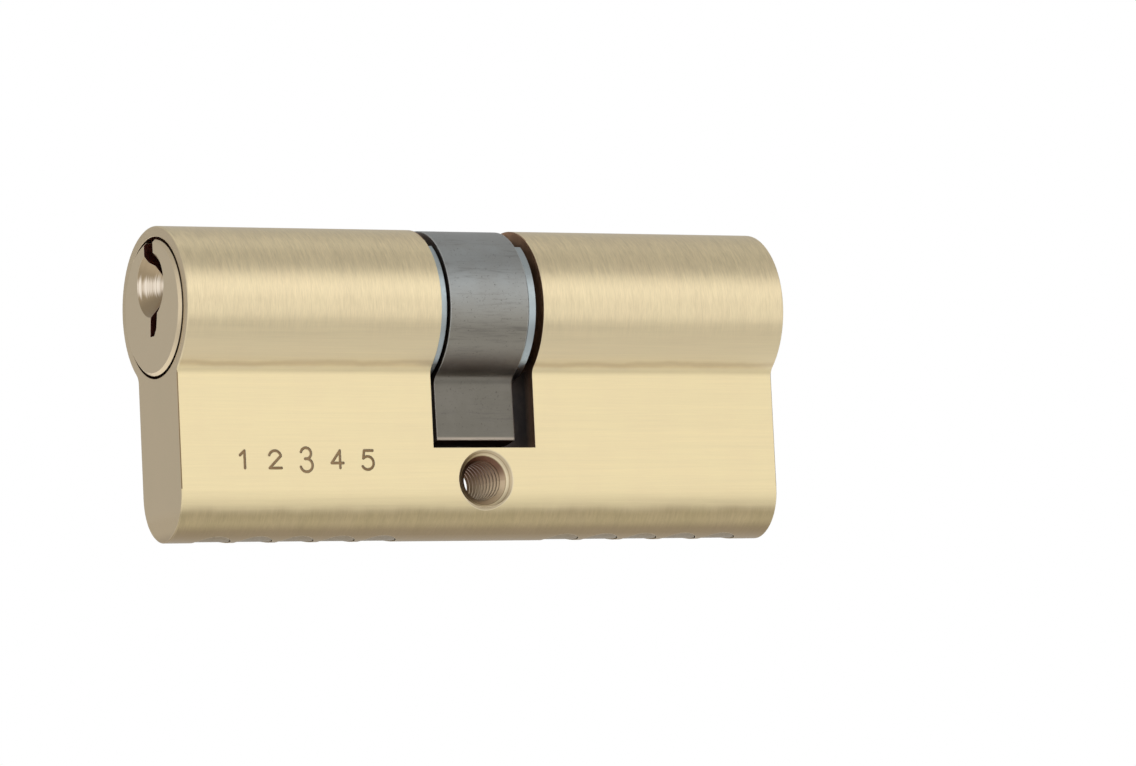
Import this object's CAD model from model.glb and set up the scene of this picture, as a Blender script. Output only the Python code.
# %% [markdown]
# # A euro cylinder in brass and steel
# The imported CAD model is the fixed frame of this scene. Its housing, plugs, cam, circlips and
# pins keep their own meshes and get their finish here. The coil springs are rebuilt as smooth
# wire, because they have to squash with the pins that stand on them.
# We load the frame first, and measure the whole object straight away.

import math
from types import SimpleNamespace

import bpy
from mathutils import Matrix, Vector


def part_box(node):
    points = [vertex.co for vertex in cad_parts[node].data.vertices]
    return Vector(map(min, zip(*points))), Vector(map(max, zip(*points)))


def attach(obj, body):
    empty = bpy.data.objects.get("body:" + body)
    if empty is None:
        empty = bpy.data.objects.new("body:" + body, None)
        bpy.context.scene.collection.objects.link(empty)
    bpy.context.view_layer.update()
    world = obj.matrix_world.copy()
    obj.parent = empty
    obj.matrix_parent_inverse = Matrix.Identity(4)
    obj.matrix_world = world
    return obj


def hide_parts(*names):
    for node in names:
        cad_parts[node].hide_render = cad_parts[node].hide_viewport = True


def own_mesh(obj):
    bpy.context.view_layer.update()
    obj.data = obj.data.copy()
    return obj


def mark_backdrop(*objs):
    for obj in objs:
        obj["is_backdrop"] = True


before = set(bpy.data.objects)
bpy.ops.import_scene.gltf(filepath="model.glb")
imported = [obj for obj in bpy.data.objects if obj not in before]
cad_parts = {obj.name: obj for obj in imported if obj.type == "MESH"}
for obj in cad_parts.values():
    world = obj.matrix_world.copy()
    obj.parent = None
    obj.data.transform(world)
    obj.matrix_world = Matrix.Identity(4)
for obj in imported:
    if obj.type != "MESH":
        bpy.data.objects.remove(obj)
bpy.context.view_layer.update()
MM = 0.001
housing_low, housing_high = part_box("housing")

# %% [markdown]
# ## Places that the finishes need
# X runs along the cylinder from its screw hole, Y runs across the web, and Z is up. The housing
# is one piece of brass with several finishes: the web is brushed along its length, the round
# part and the toe are brushed across it, and the ends are faced on a lathe. To keep them apart,
# the material has to know where each one starts. The round part's radius is half the housing's
# depth, so the plug axis lies one radius below the top.

# %% Measure the profile
ROUND_RADIUS = (housing_high.y - housing_low.y) / 2
AXIS_Z = housing_high.z - ROUND_RADIUS
WEB_HALF = 5.0 * MM
JUNCTION_Z = AXIS_Z - math.sqrt(ROUND_RADIUS**2 - WEB_HALF**2)
TOE_Z = housing_low.z + 3.5 * MM  # where the toe's cross brushing starts
END_X = housing_high.x
GAP_FLOOR_Z = AXIS_Z - 15.1 * MM
GAP_HALF = 6.1 * MM
SEAT_RADIUS, SEAT_DEPTH = 7.45 * MM, 2.0 * MM  # the counterbore that a plug's head sits in
THREAD_RADIUS, SINK_RADIUS = 2.56 * MM, 3.21 * MM  # the screw hole and its countersink
print("plug axis at z =", round(AXIS_Z, 5), "junction at z =", round(JUNCTION_Z, 5))

# %% [markdown]
# ## The camera
# A long lens from a little over half a metre keeps the cylinder's edges almost parallel. The
# camera stands to the front left and slightly below, and is rolled a little. Aiming it with a
# constraint would be shorter, but a constraint can't roll it and keep it off centre at once. So
# its three axes are worked out from azimuth, elevation and roll, and then it is moved sideways
# and up until the cylinder sits left of the middle of the picture.

# %% Camera
AZIMUTH, ELEVATION, ROLL = (math.radians(a) for a in (27.558, -5.749, -2.754))
DISTANCE = 657.1 * MM
ASIDE, DOWN = 11.770 * MM, -7.649 * MM
SENSOR, LENS = 36.0, 196.0
NEAREST, FURTHEST = 0.01, 20.0


def camera_axes(azimuth, elevation, roll):
    """Right, up and back, as the camera sees them."""
    level = math.cos(elevation)
    back = Vector((-math.sin(azimuth) * level, -math.cos(azimuth) * level, math.sin(elevation)))
    right = Vector((math.cos(azimuth), -math.sin(azimuth), 0))
    up = back.cross(right)
    turned = right * math.cos(roll) + up * math.sin(roll)
    return turned, up * math.cos(roll) - right * math.sin(roll), back


def make_camera():
    right, up, back = camera_axes(AZIMUTH, ELEVATION, ROLL)
    data = bpy.data.cameras.new("studio_camera")
    data.sensor_width, data.lens = SENSOR, LENS
    data.clip_start, data.clip_end = NEAREST, FURTHEST
    camera = bpy.data.objects.new("studio_camera", data)
    bpy.context.scene.collection.objects.link(camera)
    place = Vector((0, 0, AXIS_Z)) + back * DISTANCE + right * ASIDE + up * DOWN
    turn = Matrix((right, up, back)).transposed().to_4x4()
    camera.matrix_world = Matrix.Translation(place) @ turn
    return camera


bpy.context.scene.camera = make_camera()
print("camera at", [round(c, 4) for c in bpy.context.scene.camera.location])

# %% [markdown]
# ## Building shaders from code
# Every material below is a small node tree. One helper adds a node and fills its sockets: a
# value is typed in, and an output socket is linked. The short ones after it stand for one Math
# node each, so that a tree reads like a formula. A mask is a value from 0 to 1 that says where
# something holds: multiplying masks keeps the places that they share, and the larger of two
# joins them.

# %% Node helpers
def node(tree, kind, sockets=None, **settings):
    """Adds a node, applies its settings, and fills its input sockets by name or number."""
    new = tree.nodes.new(kind)
    for key, value in settings.items():
        setattr(new, key, value)
    for key, value in (sockets or {}).items():
        if isinstance(value, bpy.types.NodeSocket):
            tree.links.new(value, new.inputs[key])
        else:
            new.inputs[key].default_value = value
    return new


def maths(tree, operation, *values):
    """A Math node's result."""
    return node(tree, "ShaderNodeMath", dict(enumerate(values)), operation=operation).outputs[0]


def product(tree, first, *others):
    """All the values multiplied; of masks, the places that they share."""
    for other in others:
        first = maths(tree, "MULTIPLY", first, other)
    return first


def plus(tree, first, second):
    return maths(tree, "ADD", first, second)


def minus(tree, first, second):
    return maths(tree, "SUBTRACT", first, second)


def larger(tree, first, second):
    return maths(tree, "MAXIMUM", first, second)


def size_of(tree, value):
    """A value without its sign."""
    return maths(tree, "ABSOLUTE", value)


def beyond(tree, value, limit):
    """A mask: 1 where the value is above the limit."""
    return maths(tree, "GREATER_THAN", value, limit)


def within(tree, value, limit):
    """A mask: 1 where the value is below the limit."""
    return maths(tree, "LESS_THAN", value, limit)


def outside(tree, mask):
    """The opposite mask."""
    return minus(tree, 1.0, mask)


print("node helpers ready")

# %% [markdown]
# Four more helpers do the mixing. One brings a value from one range to another, with soft
# ends, which makes a mask with a soft border out of a height or a distance. The stain is the
# one that the metals use most: it lays a colour over another where a mask says so.

# %% Mixing helpers
def span(tree, value, low, high, to_low=0.0, to_high=1.0, smooth=True):
    """A value's place between low and high, brought to another range."""
    sockets = {"Value": value, "From Min": low, "From Max": high}
    sockets.update({"To Min": to_low, "To Max": to_high})
    kind = "SMOOTHSTEP" if smooth else "LINEAR"
    return node(tree, "ShaderNodeMapRange", sockets, interpolation_type=kind).outputs["Result"]


def mix_value(tree, factor, first, second):
    """Two plain values mixed."""
    return node(tree, "ShaderNodeMix", {0: factor, 2: first, 3: second}).outputs[0]


def mix_colour(tree, factor, first, second, blend="MIX"):
    """Two colours mixed."""
    settings = {"data_type": "RGBA", "blend_type": blend}
    return node(tree, "ShaderNodeMix", {0: factor, 6: first, 7: second}, **settings).outputs[2]


def stain(tree, colour, mask, strength, over):
    """A colour with another laid over it by a mask, at most by the strength."""
    return mix_colour(tree, product(tree, mask, strength), colour, over)


print("mixing helpers ready")

# %% [markdown]
# The last helpers are about places. All of them use object coordinates, which turn with the
# piece, so a finish stays where it is when a joint moves. A node group is the shader's version
# of a function: it is made once, and its sockets are named so that each material can set them.

# %% Places and groups
FLOAT, VECTOR = "NodeSocketFloat", "NodeSocketVector"


def surface(tree):
    """Where the surface is and the way that it faces, each as X, Y and Z."""
    coordinates = node(tree, "ShaderNodeTexCoord").outputs
    place = node(tree, "ShaderNodeSeparateXYZ", {0: coordinates["Object"]}).outputs
    facing = node(tree, "ShaderNodeSeparateXYZ", {0: coordinates["Normal"]}).outputs
    return place, facing


def distance_from(tree, first, first_centre, second, second_centre):
    """How far a place is from a centre, measured in two of its coordinates."""
    one = maths(tree, "POWER", minus(tree, first, first_centre), 2.0)
    other = maths(tree, "POWER", minus(tree, second, second_centre), 2.0)
    return maths(tree, "SQRT", plus(tree, one, other))


def stretched(tree, x, y, z):
    """Object coordinates multiplied by scales in cycles per metre along X, Y and Z."""
    place = node(tree, "ShaderNodeTexCoord").outputs["Object"]
    return node(tree, "ShaderNodeMapping", {"Vector": place, "Scale": (x, y, z)}).outputs[0]


def noise(tree, vector, scale, detail=3.0, rough=0.6):
    """Noise around 0.5, as one value."""
    sockets = {"Vector": vector, "Scale": scale, "Detail": detail, "Roughness": rough}
    return node(tree, "ShaderNodeTexNoise", sockets).outputs["Fac"]


def even_noise(tree, scale, detail=3.0):
    """Noise that is as fine along X as it is along Y and Z."""
    return noise(tree, stretched(tree, scale, scale, scale), 1.0, detail=detail)


def new_group(name, inputs, outputs):
    """A shader node group: its tree, its input sockets and its output node."""
    group = bpy.data.node_groups.new(name, "ShaderNodeTree")
    for key, (kind, value) in inputs.items():
        socket = group.interface.new_socket(key, in_out="INPUT", socket_type=kind)
        if value is not None:
            socket.default_value = value
    for key, kind in outputs.items():
        group.interface.new_socket(key, in_out="OUTPUT", socket_type=kind)
    return group, group.nodes.new("NodeGroupInput").outputs, group.nodes.new("NodeGroupOutput")


def use_group(tree, group, **sockets):
    """Places a group and fills its sockets."""
    return node(tree, "ShaderNodeGroup", sockets, node_tree=group).outputs


print("places and groups ready")

# %% [markdown]
# ## Brushing
# A belt leaves thousands of fine, nearly parallel scratches. A Wave texture makes parallel
# lines too, but they are evenly spaced and never end. Noise that is squeezed across the belt
# and stretched along it has lines of many lengths. The group takes object coordinates that are
# already scaled that way, so each material picks its own direction, and mixes a fine, a
# middle and a broad noise. It puts out a streak value and a height for a Bump node.

# %% Brushing group
MIDDLE_SCALE, BROAD_SCALE = 0.31, 0.07  # of the fine noise's


def make_brushing():
    sockets = {"Vector": (VECTOR, None), "Fine": (FLOAT, 1.0), "Broad": (FLOAT, 0.5)}
    tree, given, result = new_group("brushing", sockets, {"Streak": FLOAT, "Height": FLOAT})
    fine = noise(tree, given["Vector"], 1.0, detail=2.0)
    middle = noise(tree, given["Vector"], MIDDLE_SCALE, detail=2.0)
    broad = noise(tree, given["Vector"], BROAD_SCALE, detail=1.0)
    height = plus(tree, product(tree, fine, given["Fine"]), middle)
    total = plus(tree, height, product(tree, broad, given["Broad"]))
    weight = plus(tree, plus(tree, given["Fine"], 1.0), given["Broad"])
    tree.links.new(maths(tree, "DIVIDE", total, weight), result.inputs["Streak"])
    tree.links.new(height, result.inputs["Height"])
    return tree


brushing = make_brushing()
print("group:", brushing.name, "with", len(brushing.nodes), "nodes")

# %% [markdown]
# ## Edges, crevices and tarnish
# Handled metal is brighter on its edges, where it rubs, and darker in its corners, where dirt
# and oil stay. A Bevel node rounds the normal near an edge; where that differs from the true
# normal, there is an edge. Ambient occlusion finds the crevices. Both work on the loose
# triangles of a CAD mesh, where Pointiness doesn't. Tarnish is soft, cloudy noise.

# %% Wear group
TARNISH_SCALE = 220


def make_wear():
    sockets = {"Radius": (FLOAT, 0.2 * MM), "Reach": (FLOAT, 3.0 * MM)}
    outputs = {"Edge": FLOAT, "Crevice": FLOAT, "Cloud": FLOAT, "Normal": VECTOR}
    tree, given, result = new_group("wear", sockets, outputs)
    bevel = node(tree, "ShaderNodeBevel", {"Radius": given["Radius"]}, samples=6).outputs[0]
    pair = {0: bevel, 1: node(tree, "ShaderNodeNewGeometry").outputs["Normal"]}
    same = node(tree, "ShaderNodeVectorMath", pair, operation="DOT_PRODUCT").outputs["Value"]
    reach = {"Distance": given["Reach"]}
    open_air = node(tree, "ShaderNodeAmbientOcclusion", reach, samples=8).outputs["AO"]
    tree.links.new(span(tree, same, 1.0, 0.88), result.inputs["Edge"])
    tree.links.new(span(tree, open_air, 0.85, 0.25), result.inputs["Crevice"])
    patches = even_noise(tree, TARNISH_SCALE, detail=4.0)
    tree.links.new(span(tree, patches, 0.35, 0.65), result.inputs["Cloud"])
    tree.links.new(bevel, result.inputs["Normal"])
    return tree


wear = make_wear()
print("group:", wear.name, "with", len(wear.nodes), "nodes")

# %% [markdown]
# ## Metals
# Every metal here is a Principled shader with Metallic at 1, so its Base Color is the colour of
# its reflection. The starter makes an empty material with the constant sockets set on the
# shader itself, and the finisher plugs in what changes over the surface: colour, roughness and
# a bump made of the brushing's height on top of the rounded edge normal. A bump is enough for
# scratches that are a few thousandths of a millimetre deep, and it leaves the mesh alone.

# %% Material starter and finisher
def start_metal(name, anisotropy=0.0):
    material = bpy.data.materials.new(name)
    material.use_nodes = True
    tree = material.node_tree
    tree.nodes.clear()
    shader = node(tree, "ShaderNodeBsdfPrincipled", {"Metallic": 1.0, "Anisotropic": anisotropy})
    output = node(tree, "ShaderNodeOutputMaterial")
    tree.links.new(shader.outputs[0], output.inputs["Surface"])
    return material, tree, shader


def finish_metal(tree, shader, colour, roughness, height, normal, depth):
    """Links what varies over the surface. depth is the bump's full height in metres."""
    sockets = {"Height": height, "Normal": normal, "Distance": depth, "Strength": 1.0}
    bump = node(tree, "ShaderNodeBump", sockets).outputs[0]
    for key, value in {"Base Color": colour, "Roughness": roughness, "Normal": bump}.items():
        tree.links.new(value, shader.inputs[key])


def give(material, *nodes):
    """Puts the material in the only slot of each CAD node."""
    for name in nodes:
        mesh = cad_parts[name].data
        mesh.materials.clear()
        mesh.materials.append(material)


print("metals can be made")

# %% [markdown]
# ## Brass housing: where each finish starts
# The housing is one bar of brass, so its finishes can't have a material slot each without
# cutting up the mesh. Masks split it instead, by place and by the direction that a face looks
# in. Heights get a slow ripple first, so that the border between two finishes is slightly wavy,
# as a hand-held belt leaves it. The belt that runs along the web also reaches the lower half of
# the round part, and the two meet in a crease that holds a little dirt.

# %% Brushing masks
END_ON, SIDE_ON, HALF_ON = 0.9, 0.92, 0.5  # how squarely a face looks along X or Y
RIPPLE = 0.9 * MM
# Where a finish starts to fade in, and where it has done so
TOE_FADE = (TOE_Z + 0.1 * MM, TOE_Z - 1.2 * MM)
WEB_FADE = (JUNCTION_Z + 0.45 * MM, JUNCTION_Z - 0.05 * MM)
BELT_FADE = (AXIS_Z - 0.8 * MM, AXIS_Z - 4.8 * MM)
CREASE_Z, CREASE_HALF = JUNCTION_Z + 0.62 * MM, 0.4 * MM


def measure_surface(tree):
    """What all the housing's masks are made of: its place and facing, and sizes from them."""
    place, facing = surface(tree)
    at = SimpleNamespace(place=place, facing=facing)
    at.along, at.across = size_of(tree, place["X"]), size_of(tree, place["Y"])
    at.end_on = beyond(tree, size_of(tree, facing["X"]), END_ON)
    at.sideways = size_of(tree, facing["Y"])
    at.below_round = within(tree, place["Z"], JUNCTION_Z + 0.02 * MM)
    at.faced = product(tree, at.end_on, beyond(tree, at.along, END_X - 0.5 * MM))
    wave = noise(tree, stretched(tree, 160, 160, 30), 1.0)
    at.height = plus(tree, place["Z"], product(tree, minus(tree, wave, 0.5), RIPPLE))
    at.from_axis = distance_from(tree, place["Y"], 0.0, place["Z"], AXIS_Z)
    at.from_screw = distance_from(tree, place["X"], 0.0, place["Z"], 0.0)
    return at


def brushing_masks(tree, at):
    """The web, the toe and the crease, and what was brushed lengthwise."""
    toe = span(tree, at.height, *TOE_FADE)
    flat = product(tree, at.below_round, beyond(tree, at.sideways, SIDE_ON))
    blend = span(tree, at.height, *WEB_FADE)
    blend = product(tree, blend, beyond(tree, at.sideways, HALF_ON))
    web = product(tree, larger(tree, flat, blend), outside(tree, toe))
    from_crease = size_of(tree, minus(tree, at.height, CREASE_Z))
    crease = span(tree, from_crease, CREASE_HALF, 0.0)
    belt = product(tree, span(tree, at.height, *BELT_FADE), outside(tree, toe))
    return {"toe": toe, "web": web, "crease": crease, "belted": larger(tree, web, belt)}


print("toe fades over", [round(z / MM, 2) for z in TOE_FADE], "mm")

# %% [markdown]
# The cut places are darker, because they are rough and get no light. The gap for the cam has
# walls that go from brown at the outside to nearly black deep inside, so its mask comes with
# a depth. A seat is the counterbore that a plug's head sits in. Round the screw, one radius
# ends the thread and another ends the countersink. The stamped digits are what lies just under
# the web's surface, away from the gap and the ends.

# %% Cut masks
SKIN = 0.05 * MM
CUT_FADE = (0.7 * MM, 2.2 * MM)  # depths
STAMP_SKIN, STAMP_DEPTH = 0.01 * MM, 0.2 * MM
STAMP_FROM_X, STAMP_FROM_Z = 7.0 * MM, TOE_Z + 1.7 * MM


def gap_masks(tree, at):
    """The gap for the cam, and how deep in it a place is."""
    middle = within(tree, at.along, GAP_HALF)
    inner = within(tree, at.across, WEB_HALF - SKIN)
    above_floor = beyond(tree, at.place["Z"], GAP_FLOOR_Z - SKIN)
    cut = product(tree, middle, inner, above_floor)
    walls = product(tree, middle, at.end_on)
    from_web = minus(tree, WEB_HALF, at.across)
    from_round = minus(tree, ROUND_RADIUS, at.from_axis)
    low_wall = within(tree, at.place["Z"], JUNCTION_Z)
    depth = mix_value(tree, low_wall, from_round, from_web)
    return {"cut": larger(tree, cut, walls), "deep": span(tree, depth, *CUT_FADE)}


def hole_masks(tree, at):
    """The seats of the plugs' heads, and the screw hole."""
    near_end = beyond(tree, at.along, END_X - SEAT_DEPTH)
    in_bore = within(tree, at.from_axis, SEAT_RADIUS)
    return {
        "seat": product(tree, in_bore, near_end, outside(tree, at.faced)),
        "threaded": within(tree, at.from_screw, THREAD_RADIUS),
        "sunk": within(tree, at.from_screw, SINK_RADIUS),
    }


def stamp_mask(tree, at):
    """The floors and walls of the stamped digits."""
    under = within(tree, at.across, WEB_HALF - STAMP_SKIN)
    shallow = beyond(tree, at.across, WEB_HALF - STAMP_DEPTH)
    clear = product(tree, beyond(tree, at.along, STAMP_FROM_X), outside(tree, at.faced))
    on_web = product(tree, at.below_round, beyond(tree, at.place["Z"], STAMP_FROM_Z))
    return product(tree, under, shallow, clear, on_web)


print("gap floor at z =", round(GAP_FLOOR_Z, 5))

# %% [markdown]
# ## Brass housing: the finish
# The colours go from the whole to the part: the round part's brass first, and over it the web,
# the toe, the faced ends, the seats, the gap and the screw hole, each by its mask. The thread
# is dark on the side of each ridge that looks down, and the countersink is turned, so it has
# rings: noise on the distance from the screw.

# %% Housing colours
BRASS = {
    "round": (0.83, 0.70, 0.45, 1), "web": (0.90, 0.76, 0.46, 1), "toe": (0.55, 0.445, 0.25, 1),
    "crease": (0.45, 0.32, 0.17, 1), "end": (0.70, 0.575, 0.385, 1),
    "seat": (0.38, 0.17, 0.12, 1), "cut": (0.42, 0.235, 0.135, 1),
    "deep": (0.03, 0.015, 0.014, 1), "thread": (0.66, 0.52, 0.35, 1),
    "thread_under": (0.16, 0.07, 0.045, 1), "ring_dark": (0.42, 0.31, 0.18, 1),
    "ring_light": (0.90, 0.78, 0.54, 1), "stamped": (0.27, 0.175, 0.085, 1),
    "tarnish": (0.80, 0.62, 0.42, 1), "dirt": (0.13, 0.075, 0.05, 1),
    "edge": (0.93, 0.82, 0.60, 1),
}
SINK_RINGS = 4200  # cycles per metre


def colour_housing(tree, at, mask, cloud):
    """The housing's colour before the streaks: all its finishes, the whole first."""
    colour = mix_colour(tree, mask["web"], BRASS["round"], BRASS["web"])
    colour = mix_colour(tree, mask["toe"], colour, BRASS["toe"])
    colour = stain(tree, colour, mask["crease"], 0.28, BRASS["crease"])
    colour = mix_colour(tree, at.faced, colour, BRASS["end"])
    colour = mix_colour(tree, mask["seat"], colour, BRASS["seat"])
    gap = mix_colour(tree, mask["deep"], BRASS["cut"], BRASS["deep"])
    colour = mix_colour(tree, mask["cut"], colour, gap)
    line = node(tree, "ShaderNodeCombineXYZ", {0: at.from_screw}).outputs[0]
    turned = span(tree, noise(tree, line, SINK_RINGS, detail=1.0), 0.42, 0.58)
    rings = mix_colour(tree, turned, BRASS["ring_dark"], BRASS["ring_light"])
    colour = mix_colour(tree, mask["sunk"], colour, rings)
    looks_down = span(tree, at.facing["Z"], 0.25, -0.5)
    thread = mix_colour(tree, looks_down, BRASS["thread"], BRASS["thread_under"])
    colour = mix_colour(tree, mask["threaded"], colour, thread)
    colour = mix_colour(tree, mask["stamped"], colour, BRASS["stamped"])
    return stain(tree, colour, cloud, 0.10, BRASS["tarnish"])


print("housing colours:", len(BRASS))

# %% [markdown]
# The streaks run round the bar on its upper part and on the toe, and lengthwise where the belt
# went. The faced ends have an even grit. Streaks tint the colour a little and change the
# roughness more, which is what makes brushed metal shimmer. Anisotropy stretches the highlight
# across the streaks, so the tangent that it follows is mixed by the same mask as they are.

# %% Housing material
ROUND_GRAIN = (11000, 1100, 1100)  # cycles per metre along X, Y and Z
WEB_GRAIN, GRIT = (190, 9000, 9000), 9000
ROUND_TINT, WEB_TINT = 0.75, 0.30  # how strongly streaks tint the colour


def streak_housing(tree, at, belted):
    """The streaks and their height, in the direction that each finish was brushed in."""
    round_brush = use_group(
        tree, brushing, Vector=stretched(tree, *ROUND_GRAIN), Fine=1.2, Broad=0.3
    )
    web_brush = use_group(
        tree, brushing, Vector=stretched(tree, *WEB_GRAIN), Fine=0.8, Broad=1.0
    )
    grit = even_noise(tree, GRIT)
    results = []
    for key in ("Streak", "Height"):
        brushed = mix_value(tree, belted, round_brush[key], web_brush[key])
        results.append(mix_value(tree, at.faced, brushed, grit))
    return results


def make_housing_brass():
    material, tree, shader = start_metal("brushed_brass", anisotropy=0.55)
    at = measure_surface(tree)
    mask = brushing_masks(tree, at) | gap_masks(tree, at) | hole_masks(tree, at)
    mask["stamped"] = stamp_mask(tree, at)
    worn = use_group(tree, wear, Radius=0.12 * MM, Reach=2.0 * MM)
    colour = colour_housing(tree, at, mask, worn["Cloud"])
    streak, height = streak_housing(tree, at, mask["belted"])
    calm = larger(tree, mask["belted"], mask["cut"])
    strength = span(tree, calm, 0.0, 1.0, ROUND_TINT, WEB_TINT, smooth=False)
    tint = plus(tree, 0.99, product(tree, minus(tree, streak, 0.5), strength))
    grey = node(tree, "ShaderNodeCombineColor", {0: tint, 1: tint, 2: tint}).outputs[0]
    colour = mix_colour(tree, 1.0, colour, grey, "MULTIPLY")
    colour = stain(tree, colour, worn["Crevice"], 0.55, BRASS["dirt"])
    colour = stain(tree, colour, worn["Edge"], 0.35, BRASS["edge"])
    roughness = span(tree, streak, 0.3, 0.7, 0.30, 0.42, smooth=False)
    roughness = plus(tree, roughness, product(tree, mask["toe"], 0.10))
    roughness = plus(tree, roughness, product(tree, mask["cut"], 0.15))
    finish_metal(tree, shader, colour, roughness, height, worn["Normal"], depth=0.0035 * MM)
    ways = {0: mask["belted"], 4: (1, 0, 0), 5: (0, 0, 1)}
    tangent = node(tree, "ShaderNodeMix", ways, data_type="VECTOR").outputs[1]
    tree.links.new(tangent, shader.inputs["Tangent"])
    return material


housing_brass = make_housing_brass()
give(housing_brass, "housing")
print("housing finished with", len(housing_brass.node_tree.nodes), "nodes")

# %% [markdown]
# ## The plugs
# A plug's face is finer than the housing's and a shade greyer. The cone that guides the key in
# is turned, so it has rings about its own centre, which lies above the plug's axis. A turned
# cone shows a bright band where it faces the light and goes darker away from it. The studio
# alone gives a fainter band than a small, polished cone has, so colour helps it along. The
# walls of the keyway get no light and look reddish brown.

# %% Plug material
PLUG = {
    "face": (0.745, 0.615, 0.42, 1), "glint": (0.95, 0.84, 0.70, 1),
    "glint_dark": (0.72, 0.60, 0.46, 1), "bowl": (0.42, 0.32, 0.20, 1),
    "slot": (0.30, 0.11, 0.085, 1), "dirt": (0.10, 0.045, 0.03, 1),
    "edge": (0.92, 0.84, 0.68, 1),
}
CONE_Y, CONE_Z = 0.1 * MM, AXIS_Z + 2.4 * MM
CONE_RADIUS = 3.45 * MM
CONE_RINGS, PLUG_GRIT = 5200, 7000
GLINT_Z, GLINT_FADE = CONE_Z + 0.1 * MM, (0.25 * MM, 1.2 * MM)
GLINT_RAGGED = 1.6 * MM
SLOT_RADIUS, SLOT_FROM_X = 7.0 * MM, 30.0 * MM
FLAT_ON, STEEP_ON = 0.95, 0.4  # how squarely the face and the cone look along X


def colour_cone(tree, place, rings):
    """The turned cone: a ragged bright band that fades into a darker bowl."""
    light = span(tree, rings, 0.35, 0.65)
    glint = mix_colour(tree, light, PLUG["glint"], PLUG["glint_dark"])
    off_centre = size_of(tree, minus(tree, place["Z"], GLINT_Z))
    ragged = product(tree, minus(tree, rings, 0.5), GLINT_RAGGED)
    fade = span(tree, plus(tree, off_centre, ragged), *GLINT_FADE)
    return mix_colour(tree, fade, glint, PLUG["bowl"])


def make_plug_brass():
    material, tree, shader = start_metal("turned_brass")
    worn = use_group(tree, wear, Radius=0.08 * MM, Reach=1.2 * MM)
    place, facing = surface(tree)
    from_cone = distance_from(tree, place["Y"], CONE_Y, place["Z"], CONE_Z)
    line = node(tree, "ShaderNodeCombineXYZ", {0: from_cone, 1: place["X"]}).outputs[0]
    rings = noise(tree, line, CONE_RINGS, detail=2.0)
    end_on = size_of(tree, facing["X"])
    flat = beyond(tree, end_on, FLAT_ON)
    slanted = product(tree, outside(tree, flat), beyond(tree, end_on, STEEP_ON))
    cone = product(tree, within(tree, from_cone, CONE_RADIUS), slanted)
    colour = mix_colour(tree, cone, PLUG["face"], colour_cone(tree, place, rings))
    from_axis = distance_from(tree, place["Y"], 0.0, place["Z"], AXIS_Z)
    in_head = beyond(tree, size_of(tree, place["X"]), SLOT_FROM_X)
    inner = within(tree, from_axis, SLOT_RADIUS)
    slot = product(tree, within(tree, end_on, STEEP_ON), inner, in_head)
    colour = mix_colour(tree, slot, colour, PLUG["slot"])
    colour = stain(tree, colour, worn["Crevice"], 0.75, PLUG["dirt"])
    colour = stain(tree, colour, worn["Edge"], 0.45, PLUG["edge"])
    texture = mix_value(tree, flat, rings, even_noise(tree, PLUG_GRIT))
    roughness = span(tree, texture, 0.3, 0.7, 0.28, 0.42, smooth=False)
    finish_metal(tree, shader, colour, roughness, texture, worn["Normal"], depth=0.004 * MM)
    return material


give(make_plug_brass(), "front_plug", "rear_plug")
print("plugs finished with", len(PLUG), "colours")

# %% [markdown]
# ## The cam
# The cam is sintered steel: dark, pitted and scratched along the cylinder. It is cooler above
# the plug axis and warmer below. The hollow between ring and lever lies in shadow and holds
# dirt, and the tip of the lever is rubbed bright, with a brown underside. Pits come from the
# low end of an even noise: they darken the colour and are taken off the bump's height. Real
# holes in the mesh would be far too many.

# %% Cam material
STEEL = {
    "high": (0.375, 0.39, 0.385, 1), "low": (0.315, 0.295, 0.25, 1),
    "lever": (0.19, 0.177, 0.148, 1), "hollow": (0.06, 0.038, 0.028, 1),
    "tip": (0.50, 0.43, 0.35, 1), "under": (0.50, 0.30, 0.22, 1),
    "scratch": (0.12, 0.11, 0.10, 1), "tarnish": (0.27, 0.25, 0.22, 1),
    "pit": (0.08, 0.07, 0.06, 1), "dirt": (0.09, 0.055, 0.04, 1),
    "edge": (0.62, 0.64, 0.62, 1),
}
# Heights above the plug axis, where a colour starts and where it is full
LOW_FADE = (2.5 * MM, -3.5 * MM)
LEVER_FADE = (-7.0 * MM, -8.2 * MM)
HOLLOW_FADE_IN, HOLLOW_FADE_OUT = (-4.3 * MM, -6.4 * MM), (-7.6 * MM, -6.8 * MM)
TIP_FADE = (-13.75 * MM, -14.0 * MM)
CAM_GRAIN, PORES = (500, 5200, 5200), 5200


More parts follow.
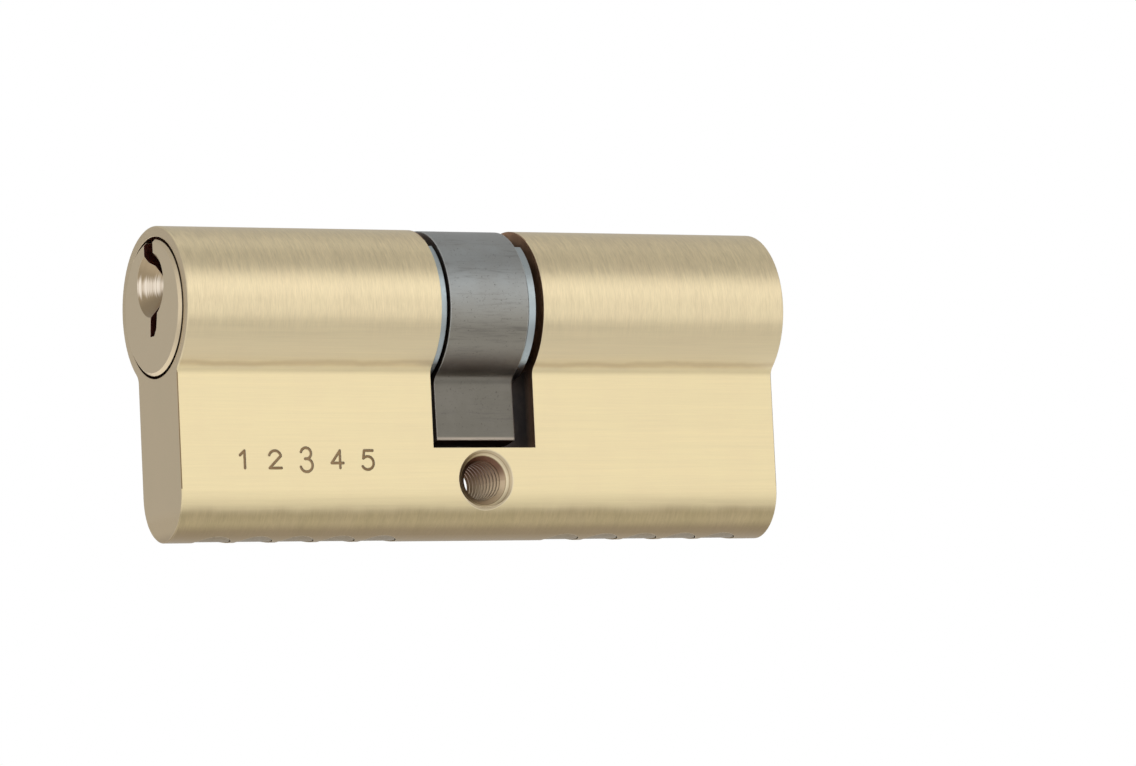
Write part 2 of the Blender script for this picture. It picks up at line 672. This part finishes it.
def make_cam_steel():
    material, tree, shader = start_metal("sintered_steel", anisotropy=0.3)
    worn = use_group(tree, wear, Radius=0.2 * MM, Reach=2.0 * MM)
    lines = use_group(tree, brushing, Vector=stretched(tree, *CAM_GRAIN), Fine=1.0, Broad=0.4)
    pits = span(tree, even_noise(tree, PORES, detail=4.0), 0.40, 0.28)
    place, facing = surface(tree)
    up = minus(tree, place["Z"], AXIS_Z)
    colour = mix_colour(tree, span(tree, up, *LOW_FADE), STEEL["high"], STEEL["low"])
    colour = mix_colour(tree, span(tree, up, *LEVER_FADE), colour, STEEL["lever"])
    hollow = product(tree, span(tree, up, *HOLLOW_FADE_IN), span(tree, up, *HOLLOW_FADE_OUT))
    colour = stain(tree, colour, hollow, 0.68, STEEL["hollow"])
    tip = span(tree, up, *TIP_FADE)
    colour = stain(tree, colour, tip, 0.9, STEEL["tip"])
    under = product(tree, within(tree, facing["Z"], -0.7), tip)
    colour = mix_colour(tree, under, colour, STEEL["under"])
    scratch = span(tree, lines["Streak"], 0.50, 0.30)
    colour = stain(tree, colour, scratch, 0.42, STEEL["scratch"])
    colour = stain(tree, colour, worn["Cloud"], 0.25, STEEL["tarnish"])
    colour = stain(tree, colour, pits, 0.6, STEEL["pit"])
    colour = stain(tree, colour, worn["Crevice"], 0.6, STEEL["dirt"])
    colour = stain(tree, colour, worn["Edge"], 0.8, STEEL["edge"])
    roughness = span(tree, lines["Streak"], 0.3, 0.7, 0.34, 0.46, smooth=False)
    height = minus(tree, lines["Height"], pits)
    finish_metal(tree, shader, colour, roughness, height, worn["Normal"], depth=0.006 * MM)
    return material


give(make_cam_steel(), "cam")
print("cam finished with", len(STEEL), "colours")

# %% [markdown]
# ## The small pieces
# Circlips, chamber plugs, clutch halves and pins differ only in colour, roughness and grain, so
# one function makes their materials from a short list.

# %% Small pieces
# Colour, roughness, grain in cycles per metre, and the word that the nodes' names share
SMALL_METALS = {
    "bright_zinc": ((0.46, 0.53, 0.55, 1), 0.32, 2600, "circlip"),
    "staked_brass": ((0.56, 0.455, 0.275, 1), 0.46, 3500, "chamber_plugs"),
    "clutch_steel": ((0.42, 0.42, 0.41, 1), 0.40, 3000, "clutch"),
    "pin_brass": ((0.86, 0.70, 0.40, 1), 0.24, 2200, "key_pin"),
    "hard_steel": ((0.62, 0.62, 0.61, 1), 0.22, 2200, "driver_pin"),
}
SMALL = {
    "dirt": (0.08, 0.05, 0.035, 1), "edge": (0.93, 0.92, 0.88, 1),
    "tarnish": (0.30, 0.28, 0.25, 1),
}


def make_small_metal(name, colour, roughness, grain):
    material, tree, shader = start_metal(name)
    worn = use_group(tree, wear, Radius=0.06 * MM, Reach=0.8 * MM)
    grit = even_noise(tree, grain)
    shade = mix_colour(tree, product(tree, worn["Crevice"], 0.6), colour, SMALL["dirt"])
    shade = stain(tree, shade, worn["Edge"], 0.5, SMALL["edge"])
    shade = stain(tree, shade, worn["Cloud"], 0.3, SMALL["tarnish"])
    varied = span(tree, grit, 0.3, 0.7, roughness - 0.06, roughness + 0.08, smooth=False)
    finish_metal(tree, shader, shade, varied, grit, worn["Normal"], depth=0.003 * MM)
    return material


for name, (colour, roughness, grain, word) in SMALL_METALS.items():
    found = [cad_name for cad_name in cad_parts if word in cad_name]
    give(make_small_metal(name, colour, roughness, grain), *found)
    print(name, "on", len(found), "nodes")

# %% [markdown]
# ## Springs with Geometry Nodes
# A chamber spring is wire along a helix whose first and last turns lie flat, because a coiler
# closes them so that the spring stands straight. A Screw modifier makes a helix too, but an even
# one. Geometry Nodes can follow the coiler's rule: a line of points is wound up by each point's
# share of the length, and the height climbs only between the two closed ends.

# %% Spring shape
WIRE = 0.15 * MM
SPRING_TURNS = 9.0
WIRE_POINTS, WIRE_SIDES = 241, 10
CLOSED_END = 0.08  # the share of the wire that lies flat at each end
CLOSED_RISE = 20.0  # how steeply the flat ends still climb, in wire radii


def open_spring_tree():
    """The empty tree with its sockets: the tree, its inputs and its output node."""
    tree = bpy.data.node_groups.new("coil_spring", "GeometryNodeTree")
    inputs = {
        "Height": (FLOAT, 10 * MM), "Radius": (FLOAT, 1.1 * MM), "Wire": (FLOAT, WIRE),
        "Turns": (FLOAT, SPRING_TURNS), "Material": ("NodeSocketMaterial", None),
    }
    for key, (kind, value) in inputs.items():
        socket = tree.interface.new_socket(key, in_out="INPUT", socket_type=kind)
        if value is not None:
            socket.default_value = value
    tree.interface.new_socket("Geometry", in_out="OUTPUT", socket_type="NodeSocketGeometry")
    return tree, tree.nodes.new("NodeGroupInput").outputs, tree.nodes.new("NodeGroupOutput")


def wind(tree, given):
    """Where each point of the wire goes, worked out from its share of the length."""
    share = node(tree, "GeometryNodeSplineParameter").outputs["Factor"]
    angle = product(tree, share, given["Turns"], 2 * math.pi)
    x = product(tree, maths(tree, "COSINE", angle), given["Radius"])
    y = product(tree, maths(tree, "SINE", angle), given["Radius"])
    rise = span(tree, share, CLOSED_END, 1 - CLOSED_END, smooth=False)
    flat = product(tree, minus(tree, share, rise), given["Wire"], CLOSED_RISE)
    z = plus(tree, product(tree, rise, given["Height"]), flat)
    return node(tree, "ShaderNodeCombineXYZ", {0: x, 1: y, 2: z}).outputs[0]


print("turns:", SPRING_TURNS, "of which closed:", round(2 * CLOSED_END * SPRING_TURNS, 2))

# %% [markdown]
# The tree moves the points of a straight line to the places of the helix, and sweeps a small
# circle along them for the wire. Its last step hands the wire its material.

# %% Spring tree
def make_spring_tree():
    tree, given, result = open_spring_tree()
    line = node(tree, "GeometryNodeCurvePrimitiveLine", {"Start": (0, 0, 0), "End": (0, 0, 1)})
    ends = {"Curve": line.outputs[0], "Count": WIRE_POINTS}
    points = node(tree, "GeometryNodeResampleCurve", ends).outputs[0]
    places = {"Geometry": points, "Position": wind(tree, given)}
    helix = node(tree, "GeometryNodeSetPosition", places).outputs[0]
    circle = {"Radius": given["Wire"], "Resolution": WIRE_SIDES}
    section = node(tree, "GeometryNodeCurvePrimitiveCircle", circle).outputs[0]
    sweep = {"Curve": helix, "Profile Curve": section, "Fill Caps": True}
    wire = node(tree, "GeometryNodeCurveToMesh", sweep).outputs[0]
    real = node(tree, "GeometryNodeRealizeInstances", {"Geometry": wire}).outputs[0]
    paint = {"Geometry": real, "Material": given["Material"]}
    painted = node(tree, "GeometryNodeSetMaterial", paint).outputs[0]
    tree.links.new(painted, result.inputs["Geometry"])
    return tree


spring_tree = make_spring_tree()
print("tree:", spring_tree.name, "with", len(spring_tree.nodes), "nodes")

# %% [markdown]
# Each of the ten springs takes its size from the CAD spring that it replaces. It has to
# shorten with its driver pin, so it is a piece of its own and squashes with that pin's joint,
# towards the end that stays put.

# %% Spring pieces
def set_inputs(modifier, values):
    """Sets a Geometry Nodes modifier's inputs, which go by identifier and not by name."""
    for item in modifier.node_group.interface.items_tree:
        if item.in_out == "INPUT" and item.name in values:
            modifier[item.identifier] = values[item.name]


def bake_nodes(tree, name, values):
    """Runs a Geometry Nodes tree once and keeps its result as a plain mesh object."""
    seed = bpy.data.objects.new(name, bpy.data.meshes.new(name + "_seed"))
    bpy.context.scene.collection.objects.link(seed)
    modifier = seed.modifiers.new("nodes", "NODES")
    modifier.node_group = tree
    set_inputs(modifier, values)
    evaluated = seed.evaluated_get(bpy.context.evaluated_depsgraph_get())
    mesh = bpy.data.meshes.new_from_object(evaluated)
    seed.modifiers.remove(modifier)
    seed.data = mesh
    mesh.name = name
    return seed


def make_spring(end, number, material):
    cad_name = f"{end}_spring_{number}"
    low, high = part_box(cad_name)
    middle = (low + high) / 2
    length = high.z - low.z
    values = {
        "Height": length - 2 * WIRE, "Radius": (high.x - low.x) / 2 - WIRE, "Wire": WIRE,
        "Turns": SPRING_TURNS, "Material": material,
    }
    piece = bake_nodes(spring_tree, f"{end}_coil_{number}", values)
    piece.data.transform(Matrix.Translation((middle.x, middle.y, low.z + WIRE)))
    piece.data.shade_smooth()
    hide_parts(cad_name)
    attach(piece, "housing")
    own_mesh(piece)
    return piece


spring_wire = make_small_metal("spring_wire", (0.70, 0.69, 0.66, 1), 0.26, 2500)
springs = [make_spring(end, i, spring_wire) for end in ("front", "rear") for i in range(1, 6)]
print("springs:", len(springs), "with", len(springs[0].data.polygons), "faces each")

# %% [markdown]
# ## The studio
# Metal shows what stands around it, so the studio is drawn for its reflections. Lamps alone
# would leave brushed brass dark between their highlights. So the room is a world of two ramps
# of grey, one for what stands in front of the cylinder and one for what stands behind it, both
# by height. The front one is bright where the web looks, has a darker band below it for the
# toe, and falls off upwards for the top of the round part. Only what the camera sees directly
# is pure white.

# %% World
# Pairs of place, from straight down at 0 to straight up at 1, and radiance
FRONT_ROOM = (
    (0.0, 0.80), (0.12, 0.78), (0.28, 0.56), (0.38, 0.98),
    (0.47, 1.0), (0.72, 0.90), (0.88, 0.54), (1.0, 0.50),
)
BACK_ROOM = ((0.0, 1.0), (0.35, 1.05), (0.50, 0.55), (1.0, 0.50))
ROOM_BORDER = (0.35, -0.25)  # Y of the direction, from the back room to the front one
WHITE = (1, 1, 1, 1)


def room(tree, height, stops):
    """A ramp of greys over the height."""
    ramp = node(tree, "ShaderNodeValToRGB", {"Fac": height})
    ramp.color_ramp.interpolation = "EASE"
    elements = ramp.color_ramp.elements
    while len(elements) < len(stops):
        elements.new(0.5)
    for element, (place, light) in zip(elements, stops):
        element.position = place
        element.color = (light, light, light, 1)
    return ramp.outputs["Color"]


def make_world():
    world = bpy.data.worlds.new("studio")
    bpy.context.scene.world = world
    world.use_nodes = True
    tree = world.node_tree
    tree.nodes.clear()
    way = node(tree, "ShaderNodeTexCoord").outputs["Generated"]
    part = node(tree, "ShaderNodeSeparateXYZ", {0: way}).outputs
    height = span(tree, part["Z"], -1.0, 1.0, smooth=False)
    front = span(tree, part["Y"], *ROOM_BORDER)
    light = mix_colour(tree, front, room(tree, height, BACK_ROOM), room(tree, height, FRONT_ROOM))
    seen = node(tree, "ShaderNodeLightPath").outputs["Is Camera Ray"]
    light = mix_colour(tree, seen, light, WHITE)
    background = node(tree, "ShaderNodeBackground", {"Color": light, "Strength": 1.0})
    output = node(tree, "ShaderNodeOutputWorld")
    tree.links.new(background.outputs[0], output.inputs["Surface"])


make_world()
print("world ready with", len(FRONT_ROOM), "and", len(BACK_ROOM), "stops")

# %% [markdown]
# The floor is pale and fades out at a distance. It is see-through from below, because the
# camera stands a little under it, and in reflections, which show the room instead.

# %% Floor
FLOOR_RADIUS = 0.6
FLOOR_FADE = (0.25, 0.55)  # metres from the middle
PAPER = (0.82, 0.82, 0.81, 1)


def make_floor_material():
    material = bpy.data.materials.new("studio_floor")
    material.use_nodes = True
    tree = material.node_tree
    tree.nodes.clear()
    place = node(tree, "ShaderNodeTexCoord").outputs["Object"]
    far = node(tree, "ShaderNodeVectorMath", {0: place}, operation="LENGTH").outputs["Value"]
    back = node(tree, "ShaderNodeNewGeometry").outputs["Backfacing"]
    mirrored = node(tree, "ShaderNodeLightPath").outputs["Is Glossy Ray"]
    gone = larger(tree, larger(tree, span(tree, far, *FLOOR_FADE), back), mirrored)
    paper = node(tree, "ShaderNodeBsdfDiffuse", {"Color": PAPER}).outputs[0]
    clear = node(tree, "ShaderNodeBsdfTransparent").outputs[0]
    mixed = node(tree, "ShaderNodeMixShader", {0: gone, 1: paper, 2: clear}).outputs[0]
    output = node(tree, "ShaderNodeOutputMaterial")
    tree.links.new(mixed, output.inputs["Surface"])
    return material


def make_floor():
    mesh = bpy.data.meshes.new("studio_floor")
    signs = ((-1, -1), (1, -1), (1, 1), (-1, 1))
    corners = [(x * FLOOR_RADIUS, y * FLOOR_RADIUS, housing_low.z) for x, y in signs]
    mesh.from_pydata(corners, [], [(0, 1, 2, 3)])
    mesh.materials.append(make_floor_material())
    floor = bpy.data.objects.new("studio_floor", mesh)
    bpy.context.scene.collection.objects.link(floor)
    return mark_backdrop(floor)


make_floor()
print("floor at z =", round(housing_low.z, 4))

# %% [markdown]
# Two large, weak softboxes add a soft shadow and a little shape to what the room lights. The
# view transform is the plain one, so that white paper stays white.

# %% Lights
def make_softbox(name, place, size, watts):
    """A round area light that looks at the middle of the cylinder."""
    data = bpy.data.lights.new(name, "AREA")
    data.shape, data.size, data.energy = "DISK", size, watts
    light = bpy.data.objects.new(name, data)
    light.location = place
    light.rotation_euler = Vector(place).to_track_quat("Z", "Y").to_euler()
    bpy.context.scene.collection.objects.link(light)


make_softbox("key_softbox", (0.25, -0.75, 0.45), size=0.6, watts=0.3)
make_softbox("top_softbox", (0.0, 0.1, 0.9), size=0.7, watts=0.4)
bpy.context.scene.view_settings.view_transform = "Standard"
